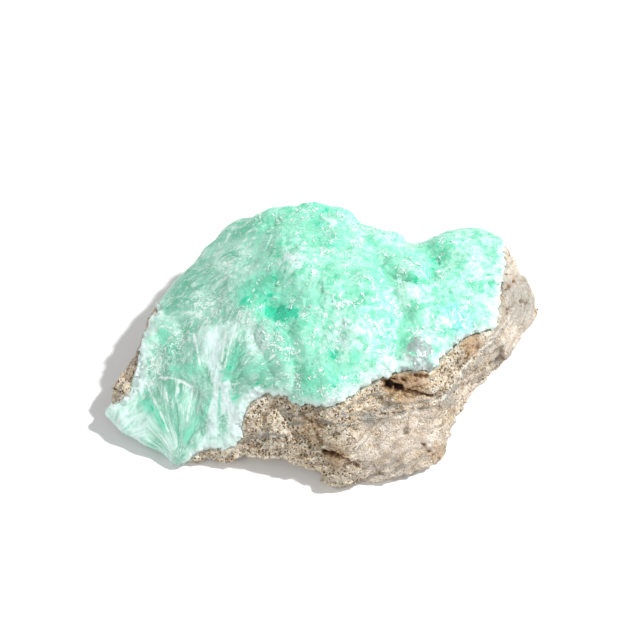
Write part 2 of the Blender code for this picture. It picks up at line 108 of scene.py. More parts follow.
# Marks on the crust, seen from above. A spot is its middle, radius and strength; a streak is its two
# ends, its width at each end and its strength. At its radius or width a mark is half as strong, from
# these two numbers.
MARK_FADE, MARK_POWER = 0.7, 1.3
DEEP_GREEN_SPOTS = (
    (-16.0, 1.0, 1.9, 0.95), (-12.0, 0.5, 3.6, 0.65), (-15.5, 4.0, 3.4, 0.65), (-11.0, 4.8, 2.6, 0.6),
    (2.2, -15.0, 1.3, 0.95), (6.6, -15.7, 1.2, 0.7), (-2.0, -19.0, 3.0, 0.4), (3.5, -19.5, 3.0, 0.4),
    (-1.3, 21.5, 1.3, 0.7), (1.5, 13.0, 2.2, 0.5), (13.5, -7.0, 4.8, 0.45), (24.5, 12.5, 2.0, 0.7),
    (23.3, 8.3, 2.0, 0.6), (27.5, 8.0, 4.5, 0.15), (25.4, 16.6, 2.6, 0.5), (19.8, 2.3, 1.6, 0.7),
    (27.5, -0.5, 2.6, 0.35), (0.5, 26.0, 5.5, 0.50), (17.5, 14.0, 3.4, 0.35), (1.0, 16.5, 3.2, 0.3),
    (12.0, 4.0, 3.2, 0.35), (-1.0, -6.0, 2.5, 0.35), (-18.0, -18.6, 0.9, 0.7),
)
DEEP_GREEN_STREAKS = (
    ((-11.2, -2.0), (-7.2, -4.9), (1.5, 2.1), 1.25), ((-20.6, -15.0), (-17.4, -11.0), (0.4, 2.0), 0.58),
    ((-11.0, 8.0), (-8.5, -13.0), (2.6, 2.4), 0.36),
    ((-36.0, -17.2), (-38.2, -13.4), (0.9, 1.7), 0.55), ((-32.6, -21.4), (-34.6, -18.4), (0.6, 1.2), 0.5),
    ((-28.4, -23.0), (-25.6, -20.2), (1.1, 0.8), 0.55), ((-31.5, -10.3), (-25.5, -12.3), (1.4, 1.1), 0.4),
    ((-34.2, -1.0), (-31.5, -6.0), (1.4, 1.8), 0.4), ((-20.0, -15.0), (-11.5, -14.0), (0.5, 2.2), 0.4),
    ((-21.3, -16.2), (-21.5, -20.5), (0.3, 0.5), 0.5), ((-23.4, -17.5), (-25.2, -21.0), (0.4, 0.7), 0.45),
    ((-19.2, -17.0), (-16.8, -21.0), (0.4, 0.8), 0.45),
    ((-14.8, -17.7), (-13.2, -17.2), (0.25, 0.3), 1.1), ((15.5, 2.5), (16.0, -4.5), (1.2, 1.0), 0.30),
)
PALE_SPOTS = (
    (-20.0, -6.0, 2.6, 0.5), (-13.8, -9.4, 3.6, 0.6), (-6.5, 8.0, 4.2, 0.6),
    (5.5, -11.5, 4.6, 0.7), (34.6, 8.5, 5.6, 0.5), (36.3, 0.4, 4.2, 0.5), (34.0, 18.0, 4.6, 0.4),
    (31.6, 13.3, 2.6, 0.3), (20.5, -0.8, 3.8, 0.5), (-42.7, -16.6, 4.4, 0.8), (-38.4, -20.4, 3.2, 0.7),
    (-32.0, -24.0, 3.0, 0.6), (-37.7, -6.7, 2.8, 0.5), (10.0, 21.0, 2.8, 0.4), (16.5, 17.0, 3.6, 0.5),
    (14.0, -10.0, 4.0, 0.2), (24.0, -9.0, 3.4, 0.5), (-24.5, -24.5, 2.0, 0.7), (17.5, -1.0, 3.4, 0.75),
    (28.0, 12.0, 6.5, 0.35), (30.0, 0.0, 6.0, 0.4), (21.5, 5.0, 5.0, 0.3), (8.0, 24.0, 6.0, 0.3),
)
PALE_AND_GLINT_STREAKS = (
    ((-22.4, -14.5), (-23.0, -6.0), (0.6, 3.8), 0.95), ((-21.8, -15.5), (-22.8, -23.0), (0.9, 1.5), 1.0),
    ((-19.8, -15.5), (-18.3, -22.3), (0.6, 1.4), 0.95), ((-20.6, -15.0), (-20.6, -20.0), (0.7, 0.9), 1.0),
    # These two streaks are painted glints: bright patches where the druse catches the light.
    ((-7.3, 10.5), (-5.6, 6.3), (0.5, 0.8), 1.3), ((0.2, 24.0), (2.4, 21.0), (0.5, 0.8), 1.3),
    ((9.0, -18.6), (17.0, -15.6), (1.8, 2.0), 0.8), ((1.0, -23.5), (5.0, -22.8), (1.2, 1.2), 0.8),
)
AQUA_SPOTS = ((29.0, -7.0, 2.8, 1.0), (27.0, -5.0, 3.0, 0.7), (24.5, -3.5, 4.0, 0.35))
CLEAR_SPOTS = ((20.0, -13.4, 2.6, 1.0), (20.4, -16.0, 2.4, 0.9), (16.5, -17.3, 1.6, 0.6))
# Where the broken fibres show white curling wisps.
WISPY_SPOTS = (
    (-37.0, -9.0, 4.5, 1.0), (-32.0, -3.0, 5.0, 0.8), (-25.0, 3.0, 5.5, 0.8), (-17.0, -2.5, 3.0, 0.8),
    (-13.0, -9.5, 3.5, 0.6), (-20.0, 14.0, 6.0, 0.6),
)
# Small lumps of the crust: x, y, radius and height. Crevices below them: their ends, width and depth.
LUMPS = (
    (19.3, 6.3, 3.2, 0.9), (-5.0, 7.5, 4.0, 0.5), (6.0, -11.0, 4.5, 0.5), (26.5, 17.0, 3.0, 0.6),
    (10.0, 18.0, 3.0, 0.5), (-9.0, -5.5, 4.5, 0.7), (-7.5, -11.5, 5.0, 0.9), (-6.0, -17.5, 4.0, 0.7),
    (17.3, -1.5, 3.0, 0.8), (20.0, -13.6, 2.4, 0.5), (-15.0, 6.0, 5.0, 0.9), (-14.5, -2.0, 5.0, 1.0),
    (-12.5, -10.0, 4.5, 0.8),
)
CRUST_CREVICES = (((16.8, 3.0), (19.6, 2.0), 0.6, 1.4), ((19.6, 2.0), (21.8, 3.1), 0.5, 1.0))
# Where the crust reaches further out than the CAD solid: the place, its radius and the way it reaches.
REACHES = (((-41.0, -7.0), 4.5, (-1.6, 0.2, -0.2)), ((-37.5, 1.5), 4.5, (-1.2, 0.5, -0.1)))
# Smooth milky places with hardly any druse.
SMOOTH_SPOTS = (
    (-9.5, 6.0, 4.5, 1.0), (5.5, -11.5, 3.6, 0.9), (34.6, 8.5, 6.0, 1.0), (36.0, 0.0, 5.0, 1.0),
    (21.5, -1.5, 4.0, 1.0), (34.0, 17.0, 5.0, 1.0), (-7.0, 22.0, 6.0, 0.8), (-9.0, -3.5, 3.2, 0.9),
    (27.0, -4.0, 4.0, 0.6), (10.0, -16.5, 3.0, 0.8), (20.0, -14.5, 3.6, 1.0), (-11.5, 14.5, 6.0, 1.0),
    (12.5, -6.0, 5.5, 0.8), (-14.5, 2.5, 3.4, 0.75), (27.5, -6.5, 2.6, 0.7),
)
# Cracks between the fibres, which show as crisp white lines, seen from above.
WHITE_LINES = (
    ((-20.3, -12.7), (-17.9, -3.9)), ((-20.9, -11.4), (-20.2, -5.7)), ((-27.2, -3.5), (-25.4, -12.0)),
    ((-36.9, -12.3), (-32.3, -21.5)), ((-27.1, -14.6), (-28.3, -20.3)), ((-32.8, -14.6), (-32.4, -16.6)),
    ((-30.3, -13.1), (-30.3, -15.2)), ((-34.8, -10.8), (-31.0, -12.4)), ((-31.0, -12.4), (-27.1, -14.6)),
    ((-20.4, -17.5), (-18.9, -21.8)), ((-15.5, -19.0), (-12.9, -17.9)), ((-12.5, -13.9), (-9.6, -13.0)),
)

# Marks on the block. The block's front is seen from the photograph's view: to the right, and up in
# that view. Each spot is its middle, radius and strength, and each crevice a run of points, its width
# and its depth.
BOULDER_SPOTS = (
    (14.0, -15.5, 6.5, 1.0), (20.0, -13.0, 6.0, 1.0), (42.0, 8.0, 9.0, 1.0), (33.0, -3.5, 4.5, 0.7),
    (43.0, 17.0, 8.0, 1.0),
)
GREY_SPOTS = (
    (-12.8, -13.2, 1.8, 0.55), (-9.3, -13.4, 1.4, 0.5), (9.5, -10.0, 2.2, 0.8), (26.0, -6.0, 2.0, 0.6),
    (43.5, 15.0, 7.5, 0.65), (38.0, 2.0, 5.0, 0.5),
)
STAIN_SPOTS = (
    (17.0, -2.4, 4.5, 1.0), (-2.5, -11.5, 3.0, 0.6), (3.0, -17.5, 3.0, 0.7), (31.0, 5.5, 2.5, 0.8),
    (-44.0, 1.0, 4.0, 0.6), (37.5, 15.2, 1.4, 0.9), (24.0, -17.0, 2.6, 0.6), (10.5, -12.5, 1.8, 0.4),
)
CREVICES = (
    (((-1.2, -12.5), (-0.2, -14.6), (0.6, -16.4)), 0.30, 0.4),
    (((0.6, -16.4), (3.8, -17.4)), 0.45, 1.0),
    (((3.8, -17.4), (7.6, -19.6)), 0.30, 0.6),
    (((13.4, -2.9), (15.9, -3.3)), 0.65, 2.0),
    (((15.8, -3.4), (19.0, -4.2), (22.8, -5.2)), 0.25, 0.9),
    (((12.6, -0.9), (14.8, -1.9), (16.7, -1.9), (18.0, -0.9), (21.8, -1.2)), 0.25, 0.9),
    (((17.5, -3.0), (20.5, -3.2)), 0.15, 0.4),
    (((27.5, 5.0), (29.5, 6.6), (31.5, 7.4), (34.4, 8.3)), 0.30, 0.8),
    (((20.5, -15.0), (23.0, -17.5)), 0.20, 0.5),
    (((-5.0, -8.5), (-2.2, -10.2), (0.5, -11.6)), 0.20, 0.45),
    (((8.5, -7.6), (11.5, -8.9), (14.5, -8.4)), 0.20, 0.4),
    (((38.0, 23.2), (39.2, 20.6), (41.2, 19.2)), 0.22, 0.6),
    (((37.3, 15.6), (39.2, 17.2), (40.9, 18.9), (43.5, 18.2)), 0.22, 0.6),
    (((39.0, 12.5), (41.6, 14.6), (44.0, 14.2)), 0.20, 0.5),
    (((33.5, -1.5), (36.0, 1.0), (39.5, 3.2)), 0.18, 0.4),
    (((26.5, -8.5), (30.0, -5.5), (33.0, -4.0)), 0.18, 0.4),
)
STRATA = (
    ((-7.0, -10.9), (-0.1, -10.2), (6.5, -11.2), (10.4, -10.6), (16.0, -8.6), (24.4, -7.3), (28.5, -1.5),
     (33.0, 2.6), (38.4, 8.6), (41.0, 12.4)),
    ((4.0, -8.6), (9.5, -8.9), (15.0, -7.0), (22.5, -6.2), (28.5, -3.2), (32.5, 1.5), (36.5, 6.4)),
    ((-17.0, -14.5), (-10.0, -13.2), (-4.0, -13.8)),
)
QUARTZ_VEIN = ((24.6, -6.0), (26.6, -3.6), (31.8, 3.4), (36.2, 6.4), (39.3, 10.7), (41.5, 13.7))

# Relief of the crust, as widths and heights. Where it grew freely it has round buds, chunks, bumps and
# small flat faces, which are higher in the druse. Where it is broken it has ribs along the fibres, as far
# apart as this angle in radians, dents, and a step from fan to fan.
BUD_WIDTH, BUD_HEIGHT, BUD_CROWN = 4.4, 0.35, 0.7
CHUNK_WIDTH, CHUNK_HEIGHT = 3.4, 0.14
BUMP_WIDTH, BUMP_HEIGHT = 2.2, 0.10
FACE_WIDTHS = (1.2, 0.6)
FACE_HEIGHT, DRUSE_FACE_HEIGHT = 0.04, 0.14
RIB_SPREAD, RIB_HEIGHT = 0.10, 0.12
DENT_WIDTH, DENT_HEIGHT = 2.4, 0.10
FAN_WANDER, FAN_BLEND, FAN_STEP = 0.8, 14.0, 0.7
# How fast the pattern of the fibres changes out along them, per millimetre.
DRAWN_OUT = 0.006

# Relief of the block, as widths and heights: grains with their lift and their crown, sugary bumps, pits,
# chips, flakes, swells, and a ledge at each bed.
GRAIN_WIDTH, GRAIN_LIFT, GRAIN_CROWN = 0.6, 0.13, 0.10
SUGAR_WIDTH, SUGAR_HEIGHT = 1.6, 0.12
PIT_WIDTH, PIT_DEPTH = 1.3, 0.26
CHIP_WIDTH, CHIP_HEIGHT = 5.0, 0.30
FLAKE_WIDTH, FLAKE_HEIGHT = 2.0, 0.16
SWELL_WIDTH, SWELL_HEIGHT = 3.4, 0.15
BED_SPACING, BED_WANDER, LEDGE_HEIGHT = 2.6, 0.5, 0.55
STRATUM_WIDTH, STRATUM_DEPTH, VEIN_WIDTH = 0.35, 0.30, 0.26
CREVICE_WANDER, CREVICE_WANDER_WIDTH = 0.40, 1.1
CRACK_SPACING, CRACK_SHARE, CRACK_DEPTH = 9.0, 0.03, 0.6

# Druse: how many crystals, their lengths and the power that makes most of them short, their shape and how
# far they are raised, as shares of the length, the least depth of crust they stand on, the size of the
# curls that they line, the step that finds a curl's way, and how much they stray from it.
CRYSTALS = 4200
CRYSTAL_LENGTH, SHORTENING = (0.28, 1.3), 2.6
CRYSTAL_SHAPE, CRYSTAL_RAISED = (0.22, 0.12, 0.58), 0.02
CRYSTAL_DEPTH = 1.6
CURL_WIDTH, CURL_STEP, CRYSTAL_STRAY = 1.5, 0.1, 0.35
# This turn stands a cube on its corner.
CORNER_TURN = math.radians(54.7)


def colour(hex_value):
    """An sRGB hex value as the linear colour that shaders take."""
    channels = [int(hex_value[i : i + 2], 16) / 255.0 for i in (1, 3, 5)]
    linear = [c / 12.92 if c <= 0.04045 else ((c + 0.055) / 1.055) ** 2.4 for c in channels]
    return (*linear, 1.0)


def per_mm(size):
    """The scale of a pattern whose cells are this many millimetres wide."""
    return 1.0 / (size * MM)


def smooth_step(value, low, high):
    """From 0 at low to 1 at high, which may be the smaller of the two."""
    t = np.clip((value - low) / (high - low), 0.0, 1.0)
    return t * t * (3.0 - 2.0 * t)


def add_node(tree, kind, inputs=None, **settings):
    """Adds a node with its settings, and sets or links its inputs, which go by name or by number.

    Input 0 of a Mix node is its share, 2 and 3 are the numbers that it mixes, and 6 and 7 the colours.
    """
    made = tree.nodes.new(kind)
    for name, value in settings.items():
        setattr(made, name, value)
    for key, value in (inputs or {}).items():
        if isinstance(value, bpy.types.NodeSocket):
            tree.links.new(value, made.inputs[key])
        else:
            made.inputs[key].default_value = value
    return made


def new_material(name):
    """A material with its node tree, its Principled shader and its Object coordinates."""
    material = bpy.data.materials.new(name)
    material.use_nodes = True
    tree = material.node_tree
    shader = tree.nodes["Principled BSDF"]
    place = add_node(tree, "ShaderNodeTexCoord").outputs["Object"]
    return material, tree, shader, place


def baked(piece):
    """Replaces the piece's mesh by what its modifiers make of it."""
    bpy.context.view_layer.update()
    graph = bpy.context.evaluated_depsgraph_get()
    data = bpy.data.meshes.new_from_object(piece.evaluated_get(graph))
    piece.modifiers.clear()
    piece.data = data
    return piece


def merged_copy(node_name, name):
    """A copy of a CAD solid as a piece of its own, its loose triangles merged into one skin."""
    mesh = bmesh.new()
    mesh.from_mesh(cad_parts[node_name].data)
    bmesh.ops.remove_doubles(mesh, verts=mesh.verts, dist=0.002 * MM)
    data = bpy.data.meshes.new(name)
    mesh.to_mesh(data)
    mesh.free()
    piece = bpy.data.objects.new(name, data)
    bpy.context.scene.collection.objects.link(piece)
    return piece


def reskinned(piece, cell):
    """An even skin of small quads."""
    skin = piece.modifiers.new("skin", "REMESH")
    skin.mode = "VOXEL"
    skin.voxel_size = cell * MM
    skin.use_smooth_shade = True
    return baked(piece)


def relaxed(piece, rounds):
    """Irons out the facets of the CAD solid."""
    smooth = piece.modifiers.new("relax", "SMOOTH")
    smooth.factor = 0.5
    smooth.iterations = rounds
    return baked(piece)


def points_of(piece):
    """The piece's points, in millimetres."""
    points = np.empty(len(piece.data.vertices) * 3, np.float32)
    piece.data.vertices.foreach_get("co", points)
    return points.reshape(-1, 3).astype(float) / MM


def normals_of(piece):
    """The normals at the piece's points."""
    normals = np.empty(len(piece.data.vertices) * 3, np.float32)
    piece.data.vertices.foreach_get("normal", normals)
    return normals.reshape(-1, 3).astype(float)


def move_points(piece, points):
    """Moves the piece's points to these places, in millimetres."""
    piece.data.vertices.foreach_set("co", (points * MM).astype(np.float32).ravel())
    piece.data.update()


def set_number(piece, name, values):
    """Gives each point of the piece a number, for its material."""
    layer = piece.data.attributes.new(name, "FLOAT", "POINT")
    layer.data.foreach_set("value", values.astype(np.float32))


def set_vector(piece, name, values):
    """Gives each point of the piece a vector, for its material."""
    layer = piece.data.attributes.new(name, "FLOAT_VECTOR", "POINT")
    layer.data.foreach_set("vector", values.astype(np.float32).ravel())


def surface_tree(piece):
    """A search tree of the piece's faces, in millimetres."""
    points = points_of(piece)
    faces = [tuple(face.vertices) for face in piece.data.polygons]
    return BVHTree.FromPolygons(points.tolist(), faces)


def distance_to(tree, points, furthest=SEARCH):
    """Distance of each point to the surface, at most furthest."""
    found = (tree.find_nearest(Vector(p), furthest)[3] for p in points)
    return np.array([furthest if d is None else d for d in found])


def nearest_on(tree, points):
    """The nearest place on the surface to each point, or the point itself where that is far off."""
    found = [tree.find_nearest(Vector(p), SEARCH)[0] for p in points]
    return np.array([p if near is None else near[:] for near, p in zip(found, points)])


def thin_out(piece, hidden, kept):
    """Leaves only a share of the faces where the piece is hidden."""
    group = piece.vertex_groups.new(name="hidden")
    for index in np.nonzero(hidden)[0].tolist():
        group.add([index], 1.0, "REPLACE")
    decimate = piece.modifiers.new("thin_out", "DECIMATE")
    share = hidden.mean()
    decimate.ratio = 1.0 - share * (1.0 - kept)
    decimate.vertex_group = "hidden"
    decimate.vertex_group_factor = 10.0
    baked(piece)
    piece.vertex_groups.clear()


def fractal(points, grain, octaves=4, offset=0.0):
    """Fractal noise of about -1 to 1 with bumps about grain across. Each offset gives another field."""
    shift = Vector((offset, 2.0 * offset, -offset))
    return np.array([noise.fractal(Vector(p) / grain + shift, 0.9, 2.0, octaves) for p in points])


def bell(value, width):
    """1 where the value is nothing, and hardly anything past twice the width."""
    return np.exp(-((value / width) ** 2))


def cells(points, width):
    """For each point, the distance and the vector from its cell's middle, in cell widths, and the middle."""
    near = [noise.voronoi(Vector(p) / width) for p in points]
    distance = np.array([n[0][0] for n in near])
    middle = np.array([n[1][0][:] for n in near])
    return distance, points / width - middle, middle


def facets(points, width):
    """Relief of small flat faces this wide, which each tilt their own way."""
    _, away, middle = cells(points, width)
    tilt = np.array([noise.noise_vector(Vector(m) * 31.7)[:] for m in middle])
    return width * (tilt * away).sum(axis=1)


def mark_share(squared):
    """The share of a mark that is left at a distance from its middle, given squared and in radii."""
    return np.exp(-MARK_FADE * squared**MARK_POWER)


def near_spots(points, spots):
    """How strongly each point belongs to the spots. Spots with two coordinates are seen from above."""
    total = np.zeros(len(points))
    for *middle, radius, strength in spots:
        squared = ((points[:, : len(middle)] - middle) ** 2).sum(axis=1) / radius**2
        total = np.maximum(total, strength * mark_share(squared))
    return total


def distance_to_run(points, start, end, widths=(1.0, 1.0)):
    """Distance of each point to the straight run between two ends, in units of its width at each end."""
    points = points[:, : len(start)]
    run = np.subtract(end, start)
    along = np.clip((points - start) @ run / (run @ run), 0.0, 1.0)
    width = widths[0] + (widths[1] - widths[0]) * along
    return np.linalg.norm(points - start - along[:, None] * run, axis=1) / width


def distance_to_path(points, path):
    """Distance of each point to a path of straight runs."""
    return np.min([distance_to_run(points, start, end) for start, end in zip(path, path[1:])], axis=0)


def near_streaks(points, streaks):
    """How strongly each point belongs to the streaks, which are spots drawn out between two ends."""
    total = np.zeros(len(points))
    for start, end, widths, strength in streaks:
        squared = distance_to_run(points, start, end, widths) ** 2
        total = np.maximum(total, strength * mark_share(squared))
    return total


def fan_of(points):
    """The fan of each point: its number, the spoke out to the point, its length and the level there."""
    best = np.full(len(points), -math.inf)
    number = np.zeros(len(points))
    spoke = np.zeros((len(points), 3))
    length = np.zeros(len(points))
    wander = np.stack([fractal(points, 3.0, 3, 5.0), fractal(points, 3.0, 3, 55.0)], axis=1)
    shares = []
    for index, (apex, middle, radius) in enumerate(FIBRE_FANS):
        inside = 1.0 - np.linalg.norm(points[:, :2] + FAN_WANDER * wander - middle, axis=1) / radius
        away = points - apex
        reach = np.linalg.norm(away, axis=1)
        mine = inside > best
        best = np.where(mine, inside, best)
        number = np.where(mine, index, number)
        spoke = np.where(mine[:, None], away / reach[:, None], spoke)
        length = np.where(mine, reach, length)
        shares.append(np.exp(FAN_BLEND * inside))
    levels = [noise.noise(Vector((3.7 * index, 1.3, 0.4))) for index in range(len(FIBRE_FANS))]
    level = np.tensordot(levels, shares, 1) / np.sum(shares, axis=0)
    return number, spoke, length, level


def bare_places(rock, crust):
    """A search tree of the block's points that the crust leaves bare."""
    points = points_of(rock)
    bare = points[distance_to(surface_tree(crust), points, SEARCH_NEAR) > BARE_GAP]
    tree = KDTree(len(bare))
    for index, point in enumerate(bare):
        tree.insert(point, index)
    tree.balance()
    return tree


def lump_relief(points):
    """Height of the small lumps, less the depth of the crevices below them."""
    relief = sum(height * near_spots(points, [(x, y, radius, 1.0)]) for x, y, radius, height in LUMPS)
    for start, end, width, depth in CRUST_CREVICES:
        relief -= depth * bell(distance_to_run(points, start, end), width)
    return relief


def grown_relief(points, druse):
    """Relief of the free surface: round buds, chunks, bumps, and small flat faces that rise in the druse."""
    buds = BUD_CROWN - cells(points, BUD_WIDTH)[0] ** 2
    relief = BUD_HEIGHT * buds + CHUNK_HEIGHT * facets(points, CHUNK_WIDTH)
    relief += BUMP_HEIGHT * fractal(points, BUMP_WIDTH, 3, 2.0)
    faces = sum(facets(points, width) for width in FACE_WIDTHS)
    return relief + (FACE_HEIGHT + DRUSE_FACE_HEIGHT * druse) * faces


def make_crust(rock):
    """The crust: grown freely at the middle and right, broken through the fibres on the left."""
    crust = merged_copy("smithsonite_crust", "smithsonite_crust_skin")
    reskinned(crust, COARSE_CELL)
    relaxed(crust, 6)
    reskinned(crust, CRUST_CELL)
    relaxed(crust, 3)
    to_rock = surface_tree(rock)
    to_bare = bare_places(rock, crust)
    points = points_of(crust)
    for place, radius, way in REACHES:
        points += near_spots(points, [(*place, radius, 1.0)])[:, None] * way
    move_points(crust, points)
    near_rock = distance_to(to_rock, points) < CRUST_HIDDEN_GAP
    thin_out(crust, near_rock & (normals_of(crust)[:, 2] < CRUST_HIDDEN_SLOPE), HIDDEN_KEPT)

    points = points_of(crust)
    normals = normals_of(crust)
    depth = distance_to(to_rock, points)
    shown = smooth_step(depth, *RELIEF_DEPTH)
    left = smooth_step(points[:, 0] - 1.6 * fractal(points, 6.0, 2, 9.0), *BROKEN_FROM_TO)
    arc = FAN_ARC + 0.6 * fractal(points, 2.5, 3, 7.0) - np.linalg.norm(points - FIBRE_FANS[0][0], axis=1)
    broken = np.maximum(left, smooth_step(arc, -0.3, 0.3))
    lowered = np.maximum(left, smooth_step(arc, -1.6, 1.6))
    clusters = smooth_step(fractal(points, 3.4, 3, 12.0), -0.10, 0.35)
    druse = clusters * (1.0 - near_spots(points, SMOOTH_SPOTS)) * (1.0 - broken)
    # A row of crystals also lines the arc where the first fan breaks through.
    druse = np.maximum(druse, 0.9 * bell(arc, 0.9) * (1.0 - left))

    number, spoke, length, level = fan_of(points)
    ribs = fractal(spoke + 5.0 * number[:, None], RIB_SPREAD, 3, 1.0)
    torn = RIB_HEIGHT * ribs + DENT_HEIGHT * fractal(points, DENT_WIDTH, 3, 4.0) + FAN_STEP * level
    relief = lump_relief(points) + grown_relief(points, druse) * (1.0 - lowered) + torn * lowered
    points = points + normals * (shown * relief)[:, None]
    bend = LIP_BEND * smooth_step(depth, *LIP_BEND_DEPTH) * shown
    points += bend[:, None] * (nearest_on(to_rock, points) - points)
    ragged = np.stack([fractal(points, FRAY_WIDTH, 4, 20.0 + axis) for axis in range(3)], axis=1)
    fray = LIP_FRAY * smooth_step(depth, *LIP_FRAY_DEPTH) * shown
    points += fray[:, None] * ragged
    move_points(crust, points)

    lines = np.min([distance_to_run(points, start, end) for start, end in WHITE_LINES], axis=0)
    numbers = {
        "broken": broken,
        "depth": depth,
        "druse": druse,
        "rim": np.array([to_bare.find(p)[2] for p in points]),
        "deep": np.maximum(near_spots(points, DEEP_GREEN_SPOTS), near_streaks(points, DEEP_GREEN_STREAKS)),
        "pale": np.maximum(near_spots(points, PALE_SPOTS), near_streaks(points, PALE_AND_GLINT_STREAKS)),
        "wispy": near_spots(points, WISPY_SPOTS),
        "aqua": near_spots(points, AQUA_SPOTS),
        "clear": near_spots(points, CLEAR_SPOTS),
        "along": DRAWN_OUT * length,
        "line": lines + 0.15 * fractal(points, 1.5, 2, 77.0),
    }
    for name, values in numbers.items():
        set_number(crust, name, values)
    set_vector(crust, "spoke", spoke + 3.0 * number[:, None])
    return crust


def make_rock_skin():
    """The block as a fine skin, before its grain."""
    rock = merged_copy("host_rock", "dolomite_block")
    reskinned(rock, COARSE_CELL)
    relaxed(rock, 2)
    reskinned(rock, ROCK_CELL)
    return relaxed(rock, 2)


def as_photographed(points, normals):
    """Each point as the photograph shows it, to the right and up, and how much it faces that view."""
    up = math.sin(VIEW_ELEVATION) * points[:, 1] + math.cos(VIEW_ELEVATION) * points[:, 2]
    return np.stack([points[:, 0], up], axis=1), smooth_step(normals @ VIEW_BACK, 0.05, 0.3)


def sugary_relief(points):
    """Relief of single grains, each lifted its own way, with bumps and pits among them."""
    distance, _, middle = cells(points, GRAIN_WIDTH)
    lift = np.array([noise.noise(Vector(m) * 17.3) for m in middle])
    pits = smooth_step(fractal(points, PIT_WIDTH, 2, 8.0), 0.35, 0.7)
    relief = GRAIN_LIFT * lift + GRAIN_CROWN * (0.45 - distance)
    return relief + SUGAR_HEIGHT * fractal(points, SUGAR_WIDTH, 3, 3.0) - PIT_DEPTH * pits


def grain_rock(rock, crust):
    """Gives the block its sugary grain, pits and crevices, and closes the gap along the contact."""
    to_crust = surface_tree(crust)
    near_crust = distance_to(to_crust, points_of(rock), SEARCH_NEAR) < ROCK_HIDDEN_GAP
    thin_out(rock, near_crust & (normals_of(rock)[:, 2] > ROCK_HIDDEN_SLOPE), HIDDEN_KEPT)
    points = points_of(rock)
    normals = normals_of(rock)
    gap = distance_to(to_crust, points, SEARCH_FAR)
    above = smooth_step(points[:, 2], 0.1, 1.0)
    seen, facing = as_photographed(points, normals)
    patches = smooth_step(fractal(points, 11.0, 3, 52.0), -0.25, 0.45)
    boulder = near_spots(seen, BOULDER_SPOTS) * facing + 0.9 * patches * (1.0 - facing)

    bed = gap / BED_SPACING + BED_WANDER * fractal(points, 7.0, 2, 31.0)
    rise = bed - np.floor(bed)
    ledges = LEDGE_HEIGHT * (smooth_step(rise, 0.0, 0.12) - rise) * smooth_step(gap, 0.8, 2.0)
    sugar = sugary_relief(points)
    relief = sugar * (1.0 - 0.7 * boulder) + ledges
    relief += CHIP_HEIGHT * facets(points, CHIP_WIDTH)
    relief += FLAKE_HEIGHT * facets(points, FLAKE_WIDTH)
    relief += SWELL_HEIGHT * fractal(points, SWELL_WIDTH, 4, 6.0)

    wander = CREVICE_WANDER * fractal(points, CREVICE_WANDER_WIDTH, 3, 14.0)
    crevice = np.zeros(len(points))
    for run, width, depth in CREVICES:
        crevice = np.maximum(crevice, depth * bell(distance_to_path(seen, run) + wander, width))
    crevice = crevice * facing * smooth_step(fractal(points, 1.3, 2, 61.0), -0.7, 0.0)
    cracks = bell(fractal(points, CRACK_SPACING, 3, 90.0), CRACK_SHARE) * smooth_step(gap, 2.0, 5.0)
    crevice = np.maximum(crevice, CRACK_DEPTH * cracks * patches * (1.0 - facing))
    strata = np.min([distance_to_path(seen, run) for run in STRATA], axis=0) + wander
    strata = bell(strata, STRATUM_WIDTH) * facing
    vein = bell(distance_to_path(seen, QUARTZ_VEIN) + 0.6 * wander, VEIN_WIDTH) * facing
    vein *= smooth_step(fractal(points, 3.0, 2, 71.0), -0.25, 0.25)
    # The grain swells at the contact, so that no slot is left under the lip of the crust.
    swell = ROCK_SWELL * bell(gap - 0.3, 1.0) * smooth_step(normals[:, 2], 0.85, 0.5)
    points = points + normals * (above * (relief + swell - crevice - STRATUM_DEPTH * strata))[:, None]
    pull = ROCK_PULL * smooth_step(gap, *ROCK_PULL_GAP)
    points += pull[:, None] * (nearest_on(to_crust, points) - points)
    points[:, 2] = np.maximum(points[:, 2], 0.0)
    move_points(rock, points)

    numbers = {
        "boulder": boulder,
        "grey": np.maximum(near_spots(seen, GREY_SPOTS) * facing, 0.8 * strata),
        "stain": near_spots(seen, STAIN_SPOTS) * facing,
        # Painted shade: how deep a point lies in the pits of the sugary relief, away from the boulder places.
        "hollow": smooth_step(sugar, -0.05, -0.40) * (1.0 - boulder) * above,
        "crevice": crevice * above,
        "gap": gap,
        "bed": bed,
        "vein": vein,
    }
    for name, values in numbers.items():
        set_number(rock, name, values)


def one_crystal():
    """A small rhomb, which is a cube that stands on its corner and is squeezed, as points and faces."""
    mesh = bmesh.new()
    bmesh.ops.create_cube(mesh, size=1.0)
    bmesh.ops.rotate(mesh, verts=mesh.verts, matrix=Matrix.Rotation(CORNER_TURN, 3, (1, -1, 0)))
    bmesh.ops.scale(mesh, verts=mesh.verts, vec=CRYSTAL_SHAPE)
    points = np.array([v.co[:] for v in mesh.verts])
    faces = np.array([[v.index for v in f.verts] for f in mesh.faces])
    mesh.free()
    return points, faces


def curl_lines(points):
    """A field that is near nothing along small closed curls, which the druse's crystals line."""
    return fractal(points, CURL_WIDTH, 2, 25.0)


def turns_along(points, normals, chance):
    """Turns that lay each crystal's long axis along the curl it sits on, nearly flat on the surface."""
    side = np.cross(normals, (0.3, 0.9, 0.1))
    side /= np.linalg.norm(side, axis=1)[:, None]
    across = np.cross(normals, side)
    here = curl_lines(points)
    rise_side = curl_lines(points + CURL_STEP * side) - here
    rise_across = curl_lines(points + CURL_STEP * across) - here
    way = rise_across[:, None] * side - rise_side[:, None] * across
    way /= np.linalg.norm(way, axis=1)[:, None] + 1e-9
    way += CRYSTAL_STRAY * chance.normal(size=normals.shape)
    way /= np.linalg.norm(way, axis=1)[:, None]
    side = np.cross(normals, way)
    side /= np.linalg.norm(side, axis=1)[:, None]
    return np.stack([side, np.cross(way, side), way], axis=1)


def read_number(piece, name):
    """The number of this name at each point of the piece."""
    values = np.empty(len(piece.data.vertices), np.float32)
    piece.data.attributes[name].data.foreach_get("value", values)
    return values


